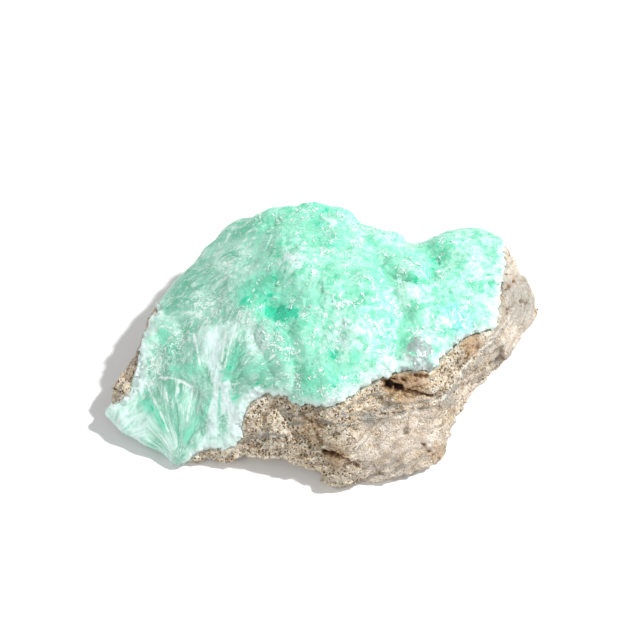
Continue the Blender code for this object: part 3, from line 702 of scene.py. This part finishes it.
def make_druse(crust):
    """The druse: thousands of tiny crystals grown out of the crust, in clusters."""
    chance = np.random.default_rng(RANDOM_SEED)
    points = points_of(crust)
    normals = normals_of(crust)
    open_top = (read_number(crust, "depth") > CRYSTAL_DEPTH) * (normals[:, 2] > 0.1)
    bunches = smooth_step(fractal(points, 2.6, 2, 33.0), 0.0, 0.4)
    curls = bell(curl_lines(points), 0.10)
    weight = read_number(crust, "druse") * (0.04 + bunches) * (0.03 + curls)
    weight = open_top * (weight + 0.006 * (1.0 - read_number(crust, "broken")) * curls)
    picked = chance.choice(len(points), CRYSTALS, replace=False, p=weight / weight.sum())
    template, faces = one_crystal()
    low, high = CRYSTAL_LENGTH
    length = low + (high - low) * chance.random(CRYSTALS) ** SHORTENING
    turns = turns_along(points[picked], normals[picked], chance)
    local = np.einsum("pi,nij->npj", template, turns) * length[:, None, None]
    centre = points[picked] + normals[picked] * (CRYSTAL_RAISED * length)[:, None]
    placed = (local + centre[:, None, :]).reshape(-1, 3)
    corners = (faces[None, :, :] + len(template) * np.arange(CRYSTALS)[:, None, None]).reshape(-1, 4)
    data = bpy.data.meshes.new("druse_crystals")
    data.from_pydata((placed * MM).tolist(), [], corners.tolist())
    druse = bpy.data.objects.new("druse_crystals", data)
    bpy.context.scene.collection.objects.link(druse)
    # Each crystal's random tint, which its material turns into the near-white of painted glints.
    set_number(druse, "tint", np.repeat(chance.random(CRYSTALS), len(template)))
    return druse


def layered(tree, base, layers):
    """Lays tints over a colour: each comes in as its value goes from low to high, up to its share."""
    for value, low, high, share, hex_value in layers:
        amount = add_node(
            tree, "ShaderNodeMapRange", {"Value": value, "From Min": low, "From Max": high, "To Max": share},
        )
        tint = add_node(
            tree, "ShaderNodeMix", {0: amount.outputs["Result"], 6: base, 7: colour(hex_value)},
            data_type="RGBA",
        )
        base = tint.outputs[2]
    return base


def fibre_patterns(tree, place, along):
    """Broad bands, threads and hairs that run out along the spokes of each fan of fibres."""
    spoke = add_node(tree, "ShaderNodeAttribute", attribute_name="spoke").outputs["Vector"]
    bend = add_node(tree, "ShaderNodeTexNoise", {"Vector": place, "Scale": per_mm(8.0), "Detail": 1.0})
    bent = add_node(
        tree, "ShaderNodeVectorMath", {0: bend.outputs["Color"], "Scale": 0.14}, operation="SCALE",
    ).outputs["Vector"]
    spoke = add_node(tree, "ShaderNodeVectorMath", {0: spoke, 1: bent}, operation="ADD").outputs["Vector"]
    patterns = []
    for scale, detail in ((4.5, 3.0), (17.0, 4.0), (40.0, 2.0)):
        drawn_out = add_node(
            tree, "ShaderNodeTexNoise",
            {"Vector": spoke, "W": along, "Scale": scale, "Detail": detail, "Roughness": 0.6},
            noise_dimensions="4D",
        )
        patterns.append(drawn_out.outputs["Fac"])
    return patterns


def blade_pattern(tree, place):
    """Short crystal blades under the surface, which lie their own way in each small domain."""
    domains = add_node(tree, "ShaderNodeTexVoronoi", {"Vector": place, "Scale": per_mm(3.0)})
    chance = add_node(tree, "ShaderNodeSeparateColor", {"Color": domains.outputs["Color"]})
    angle = add_node(
        tree, "ShaderNodeMath", {0: chance.outputs["Red"], 1: 2.0 * math.pi}, operation="MULTIPLY",
    ).outputs[0]
    turned = add_node(
        tree, "ShaderNodeVectorRotate", {"Vector": place, "Angle": angle}, rotation_type="Z_AXIS",
    ).outputs["Vector"]
    drawn_out = add_node(
        tree, "ShaderNodeVectorMath", {0: turned, 1: (1.0, 0.2, 1.0)}, operation="MULTIPLY",
    ).outputs["Vector"]
    return add_node(
        tree, "ShaderNodeTexNoise", {"Vector": drawn_out, "Scale": per_mm(0.7), "Detail": 3.0},
    ).outputs["Fac"]


def off_middle(tree, value):
    """How far a noise is from its middle value: near nothing along thin curling lines."""
    away = add_node(tree, "ShaderNodeMath", {0: value, 1: 0.5}, operation="SUBTRACT").outputs[0]
    return add_node(tree, "ShaderNodeMath", {0: away}, operation="ABSOLUTE").outputs[0]


def smithsonite():
    """Botryoidal smithsonite: waxy, translucent mint green, with white fans of fibres where it is broken."""
    material, tree, shader, place = new_material("botryoidal_smithsonite")
    shader.inputs["IOR"].default_value = 1.65
    shader.inputs["Specular IOR Level"].default_value = 0.4
    shader.inputs["Subsurface Weight"].default_value = 0.8
    shader.inputs["Subsurface Radius"].default_value = (1.0, 1.0, 1.0)
    shader.inputs["Subsurface Scale"].default_value = 0.9 * MM
    names = ("broken", "rim", "druse", "deep", "pale", "aqua", "clear", "wispy", "along", "line")
    marks = {
        name: add_node(tree, "ShaderNodeAttribute", attribute_name=name).outputs["Fac"] for name in names
    }

    clouds = add_node(
        tree, "ShaderNodeTexNoise", {"Vector": place, "Scale": per_mm(6.0), "Detail": 3.0, "Distortion": 0.8},
    ).outputs["Fac"]
    mottle = add_node(
        tree, "ShaderNodeTexNoise", {"Vector": place, "Scale": per_mm(1.5), "Detail": 5.0, "Roughness": 0.6},
    ).outputs["Fac"]
    curls = add_node(
        tree, "ShaderNodeTexNoise", {"Vector": place, "Scale": per_mm(0.9), "Detail": 1.0, "Distortion": 0.6},
    ).outputs["Fac"]
    wisps = add_node(
        tree, "ShaderNodeTexNoise", {"Vector": place, "Scale": per_mm(2.6), "Detail": 2.0, "Distortion": 1.6},
    ).outputs["Fac"]
    bands, threads, hairs = fibre_patterns(tree, place, marks["along"])
    blades = blade_pattern(tree, place)
    facet = add_node(
        tree, "ShaderNodeTexVoronoi", {"Vector": place, "Scale": per_mm(1.3), "Randomness": 1.0},
    ).outputs["Color"]
    facet = add_node(tree, "ShaderNodeSeparateColor", {"Color": facet}).outputs["Red"]

    grown = layered(tree, colour("#7ADCB7"), (
        (clouds, 0.36, 0.60, 1.0, "#9FE9CF"),
        (mottle, 0.50, 0.66, 0.4, "#BFF5E2"),
        (mottle, 0.44, 0.32, 0.5, "#68D1A8"),
        (facet, 0.55, 1.0, 0.25, "#CFF9EA"),
        (facet, 0.35, 0.0, 0.20, "#6CD4AB"),
        (blades, 0.54, 0.64, 0.45, "#D2FAEC"),
        (blades, 0.45, 0.35, 0.25, "#6CD4AB"),
    ))
    silk = layered(tree, colour("#74BFA2"), (
        (clouds, 0.38, 0.62, 1.0, "#9AD4C0"),
        (bands, 0.46, 0.60, 0.7, "#C0E8DA"),
        (bands, 0.44, 0.34, 0.6, "#6CC2A2"),
        (threads, 0.54, 0.64, 0.55, "#F1FBF7"),
        (threads, 0.43, 0.34, 0.5, "#74C4A6"),
        (hairs, 0.56, 0.64, 0.45, "#F6FDFA"),
        (hairs, 0.44, 0.36, 0.4, "#7CC9AC"),
    ))
    base = add_node(
        tree, "ShaderNodeMix", {0: marks["broken"], 6: grown, 7: silk}, data_type="RGBA",
    ).outputs[2]

    # A mark's edge is ragged: it follows the fibres where the crust is broken, elsewhere its small faces.
    streaky = add_node(tree, "ShaderNodeMath", {0: bands, 1: threads}, operation="ADD").outputs[0]
    streaky = add_node(
        tree, "ShaderNodeMath", {0: streaky, 1: 1.3, 2: -1.3}, operation="MULTIPLY_ADD",
    ).outputs[0]
    chipped = add_node(
        tree, "ShaderNodeMath", {0: mottle, 1: 2.0, 2: -1.25}, operation="MULTIPLY_ADD",
    ).outputs[0]
    chipped = add_node(
        tree, "ShaderNodeMath", {0: facet, 1: 0.5, 2: chipped}, operation="MULTIPLY_ADD",
    ).outputs[0]
    ragged = add_node(
        tree, "ShaderNodeMix", {0: marks["broken"], 2: chipped, 3: streaky}, data_type="FLOAT",
    ).outputs[0]
    edges = {}
    for mark in ("pale", "deep"):
        edges[mark] = add_node(
            tree, "ShaderNodeMath", {0: marks[mark], 1: ragged}, operation="ADD",
        ).outputs[0]
    # The aqua and the clear places fray too, and nothing of them shows elsewhere.
    for mark in ("aqua", "clear"):
        edges[mark] = add_node(
            tree, "ShaderNodeMath", {0: marks[mark], 1: ragged, 2: marks[mark]}, operation="MULTIPLY_ADD",
        ).outputs[0]

    # Painted glints: white curls, thin lines of a noise, broken up into short strokes by the mottling, in the
    # druse.
    painted_glint_curl = add_node(
        tree, "ShaderNodeMapRange", {"Value": off_middle(tree, curls), "From Min": 0.030, "From Max": 0.012},
    ).outputs["Result"]
    stroke = add_node(tree, "ShaderNodeMapRange", {"Value": mottle, "From Min": 0.45, "From Max": 0.52})
    painted_glint_curl = add_node(
        tree, "ShaderNodeMath", {0: painted_glint_curl, 1: stroke.outputs["Result"]}, operation="MULTIPLY",
    ).outputs[0]
    painted_glint_curl = add_node(
        tree, "ShaderNodeMath", {0: painted_glint_curl, 1: marks["druse"]}, operation="MULTIPLY",
    ).outputs[0]

    # Painted highlights on the small faces of the clear places, then the curling wisps, the straight white
    # lines and the pale rim along the bare block, whose edges the threads and the clouds make uneven.
    clear_face_highlight = add_node(
        tree, "ShaderNodeMath", {0: facet, 1: marks["clear"]}, operation="MULTIPLY",
    ).outputs[0]
    wisp = add_node(
        tree, "ShaderNodeMapRange", {"Value": off_middle(tree, wisps), "From Min": 0.032, "From Max": 0.010},
    ).outputs["Result"]
    wisp = add_node(tree, "ShaderNodeMath", {0: wisp, 1: marks["wispy"]}, operation="MULTIPLY").outputs[0]
    line = add_node(
        tree, "ShaderNodeMath", {0: threads, 1: 0.8, 2: marks["line"]}, operation="MULTIPLY_ADD",
    ).outputs[0]
    line = add_node(tree, "ShaderNodeMath", {0: line, 1: 0.4}, operation="SUBTRACT").outputs[0]
    rim = add_node(
        tree, "ShaderNodeMath", {0: clouds, 1: -7.0, 2: marks["rim"]}, operation="MULTIPLY_ADD",
    ).outputs[0]
    rim = add_node(tree, "ShaderNodeMath", {0: rim, 1: 3.6}, operation="ADD").outputs[0]
    base = layered(tree, base, (
        # The pale marks are the crust's own paler places, with two streaks of painted glints among them.
        (edges["pale"], 0.20, 0.90, 0.9, "#E8FDF7"),
        (edges["deep"], 0.28, 0.50, 0.65, "#74E5C3"),
        (edges["deep"], 0.66, 0.84, 0.95, "#38D3A9"),
        (edges["aqua"], 0.30, 0.80, 0.8, "#80DAD6"),
        # The painted glints of the druse.
        (painted_glint_curl, 0.25, 0.60, 0.9, "#EEFFF9"),
        (wisp, 0.10, 0.80, 0.9, "#FBFEFD"),
        (line, 0.26, 0.08, 0.9, "#EEFFF9"),
        (rim, 3.6, 1.7, 0.85, "#E2F3EE"),
        (edges["clear"], 0.35, 0.60, 0.9, "#9EA9A7"),
        (clear_face_highlight, 0.55, 0.70, 0.5, "#DDE8E5"),
    ))
    tree.links.new(base, shader.inputs["Base Color"])

    rough = add_node(
        tree, "ShaderNodeMapRange",
        {"Value": mottle, "From Min": 0.35, "From Max": 0.65, "To Min": 0.18, "To Max": 0.45},
    )
    tree.links.new(rough.outputs["Result"], shader.inputs["Roughness"])
    relief = add_node(tree, "ShaderNodeMix", {0: marks["broken"], 2: blades, 3: threads}, data_type="FLOAT")
    bump = add_node(
        tree, "ShaderNodeBump", {"Height": relief.outputs[0], "Strength": 0.5, "Distance": 0.5 * MM},
    )
    tree.links.new(bump.outputs["Normal"], shader.inputs["Normal"])
    return material


def druse_crystal():
    """Crystals of the druse: tiny rhombs whose near-white colour is painted glints."""
    material, tree, shader, _ = new_material("druse_painted_glints")
    shader.inputs["IOR"].default_value = 1.7
    shader.inputs["Roughness"].default_value = 0.15
    tint = add_node(tree, "ShaderNodeAttribute", attribute_name="tint").outputs["Fac"]
    # Painted glints: the random tint lightens most crystals to near white, in place of the light they catch.
    base = layered(tree, colour("#A4EACF"), (
        (tint, 0.15, 0.25, 1.0, "#D2FBEC"),
        (tint, 0.35, 0.45, 1.0, "#EEFFF9"),
    ))
    tree.links.new(base, shader.inputs["Base Color"])
    return material


def dolomite():
    """Granular dolomite, broken by hand: sugary tan grains with dark specks, grey beds and brown crevices."""
    material, tree, shader, place = new_material("granular_dolomite")
    shader.inputs["Roughness"].default_value = 0.8
    shader.inputs["IOR"].default_value = 1.6
    shader.inputs["Specular IOR Level"].default_value = 0.4
    names = ("boulder", "grey", "stain", "hollow", "crevice", "bed", "gap", "vein")
    marks = {
        name: add_node(tree, "ShaderNodeAttribute", attribute_name=name).outputs["Fac"] for name in names
    }

    clouds = add_node(
        tree, "ShaderNodeTexNoise", {"Vector": place, "Scale": per_mm(5.0), "Detail": 5.0},
    ).outputs["Fac"]
    blotches = add_node(
        tree, "ShaderNodeTexNoise", {"Vector": place, "Scale": per_mm(2.2), "Detail": 3.0},
    ).outputs["Fac"]
    gritty = add_node(
        tree, "ShaderNodeTexNoise", {"Vector": place, "Scale": per_mm(0.75), "Detail": 4.0, "Roughness": 0.7},
    ).outputs["Fac"]
    grain = add_node(tree, "ShaderNodeTexVoronoi", {"Vector": place, "Scale": per_mm(0.34)})
    shade = add_node(tree, "ShaderNodeSeparateColor", {"Color": grain.outputs["Color"]})
    # Dark specks: single grains, which crowd together in the darker blotches.
    specks = add_node(
        tree, "ShaderNodeMath", {0: blotches, 1: -0.9, 2: shade.outputs["Green"]}, operation="MULTIPLY_ADD",
    ).outputs[0]
    bands = add_node(
        tree, "ShaderNodeTexNoise", {"W": marks["bed"], "Scale": 2.2, "Detail": 3.0}, noise_dimensions="1D",
    ).outputs["Fac"]
    sugar = layered(tree, colour("#CEB48C"), (
        (clouds, 0.38, 0.62, 1.0, "#DECBAB"),
        (shade.outputs["Red"], 0.40, 0.9, 1.0, "#FCF5E8"),
        (gritty, 0.50, 0.62, 0.6, "#F0E7D7"),
        (gritty, 0.46, 0.37, 0.8, "#8A6E48"),
        (blotches, 0.46, 0.34, 0.5, "#A1845C"),
        (specks, 0.37, 0.41, 0.9, "#4F3A1C"),
    ))
    smooth = layered(tree, colour("#D6C2AC"), (
        (clouds, 0.36, 0.60, 1.0, "#E8DACA"),
        (blotches, 0.52, 0.64, 0.6, "#F3EBE2"),
        (blotches, 0.46, 0.36, 0.6, "#B9A184"),
        (shade.outputs["Red"], 0.70, 0.95, 0.35, "#FAF4EA"),
        (shade.outputs["Green"], 0.89, 0.93, 0.4, "#7D6647"),
    ))
    base = add_node(
        tree, "ShaderNodeMix", {0: marks["boulder"], 6: sugar, 7: smooth}, data_type="RGBA",
    ).outputs[2]
    edges = {}
    for mark in ("grey", "stain", "vein", "gap"):
        edges[mark] = add_node(
            tree, "ShaderNodeMath", {0: marks[mark], 1: gritty}, operation="ADD",
        ).outputs[0]
    base = layered(tree, base, (
        (bands, 0.56, 0.64, 0.55, "#A69F94"),
        (edges["grey"], 0.80, 1.25, 0.8, "#A3A29B"),
        (edges["stain"], 0.80, 1.30, 0.65, "#B58A58"),
        # Painted shade in the pits between the grains.
        (marks["hollow"], 0.25, 1.0, 0.65, "#7A5F3C"),
        (edges["vein"], 0.75, 1.20, 0.8, "#F4F0E8"),
        (marks["crevice"], 0.08, 0.40, 0.75, "#8F6232"),
        # Painted shade: the deepest part of each crevice darkens to near black; the brown above is the
        # crevice's own.
        (marks["crevice"], 0.35, 0.90, 0.95, "#38200C"),
        (edges["gap"], 1.5, 0.8, 0.6, "#DDE4D6"),
    ))
    tree.links.new(base, shader.inputs["Base Color"])

    relief = add_node(tree, "ShaderNodeMath", {0: grain.outputs["Distance"], 1: gritty}, operation="SUBTRACT")
    bump = add_node(
        tree, "ShaderNodeBump", {"Height": relief.outputs[0], "Strength": 0.8, "Distance": 0.4 * MM},
        invert=True,
    )
    tree.links.new(bump.outputs["Normal"], shader.inputs["Normal"])
    return material


def paper_floor():
    """A sheet of pale matte paper."""
    material, tree, shader, place = new_material("pale_paper")
    fleck = add_node(tree, "ShaderNodeTexNoise", {"Vector": place, "Scale": per_mm(60.0), "Detail": 2.0})
    tone = add_node(
        tree, "ShaderNodeMix", {0: fleck.outputs["Fac"], 6: colour("#FBFBFB"), 7: colour("#FEFEFE")},
        data_type="RGBA",
    )
    tree.links.new(tone.outputs[2], shader.inputs["Base Color"])
    shader.inputs["Roughness"].default_value = 0.9
    mesh = bmesh.new()
    bmesh.ops.create_grid(mesh, x_segments=1, y_segments=1, size=0.5 * FLOOR_WIDTH * MM)
    data = bpy.data.meshes.new("floor")
    mesh.to_mesh(data)
    mesh.free()
    floor = bpy.data.objects.new("floor", data)
    bpy.context.scene.collection.objects.link(floor)
    floor.data.materials.append(material)


def softbox(name, direction, distance, size, watts):
    """A square softbox that faces the specimen."""
    light = bpy.data.lights.new(name, "AREA")
    light.size = size * MM
    light.energy = watts
    placed = bpy.data.objects.new(name, light)
    place = Vector(direction).normalized() * distance * MM
    placed.location = place
    placed.rotation_euler = place.to_track_quat("Z", "Y").to_euler()
    bpy.context.scene.collection.objects.link(placed)


def light_and_camera():
    """The pale room, the two softboxes and the view of the photograph."""
    scene = bpy.context.scene
    scene.view_settings.view_transform = "Standard"
    world = bpy.data.worlds.new("pale_room")
    world.use_nodes = True
    room = world.node_tree.nodes["Background"]
    room.inputs["Color"].default_value = colour(ROOM_COLOUR)
    room.inputs["Strength"].default_value = ROOM_STRENGTH
    scene.world = world
    softbox("key_softbox", KEY_DIRECTION, KEY_DISTANCE, KEY_SIZE, KEY_WATTS)
    softbox("fill_softbox", FILL_DIRECTION, FILL_DISTANCE, FILL_SIZE, FILL_WATTS)

    lens = bpy.data.cameras.new("camera")
    lens.lens = LENS_MM
    lens.sensor_width = SENSOR_MM
    camera = bpy.data.objects.new("camera", lens)
    back = Vector(VIEW_BACK)
    camera.location = (Vector(VIEW_TARGET) + back * VIEW_DISTANCE) * MM
    camera.rotation_euler = back.to_track_quat("Z", "Y").to_euler()
    scene.collection.objects.link(camera)
    scene.camera = camera


def finish_piece(piece, material, replaced=None):
    """Gives the piece its material, its body and the CAD node that it replaces, if any."""
    piece.data.materials.clear()
    piece.data.materials.append(material)
    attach(piece, "root")
    if replaced:
        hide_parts(replaced)


# The noise's own vectors come from a clock unless they are seeded.
noise.seed_set(RANDOM_SEED)
light_and_camera()
paper_floor()
rock = make_rock_skin()
crust = make_crust(rock)
grain_rock(rock, crust)
druse = make_druse(crust)
finish_piece(rock, dolomite(), "host_rock")
finish_piece(crust, smithsonite(), "smithsonite_crust")
finish_piece(druse, druse_crystal())
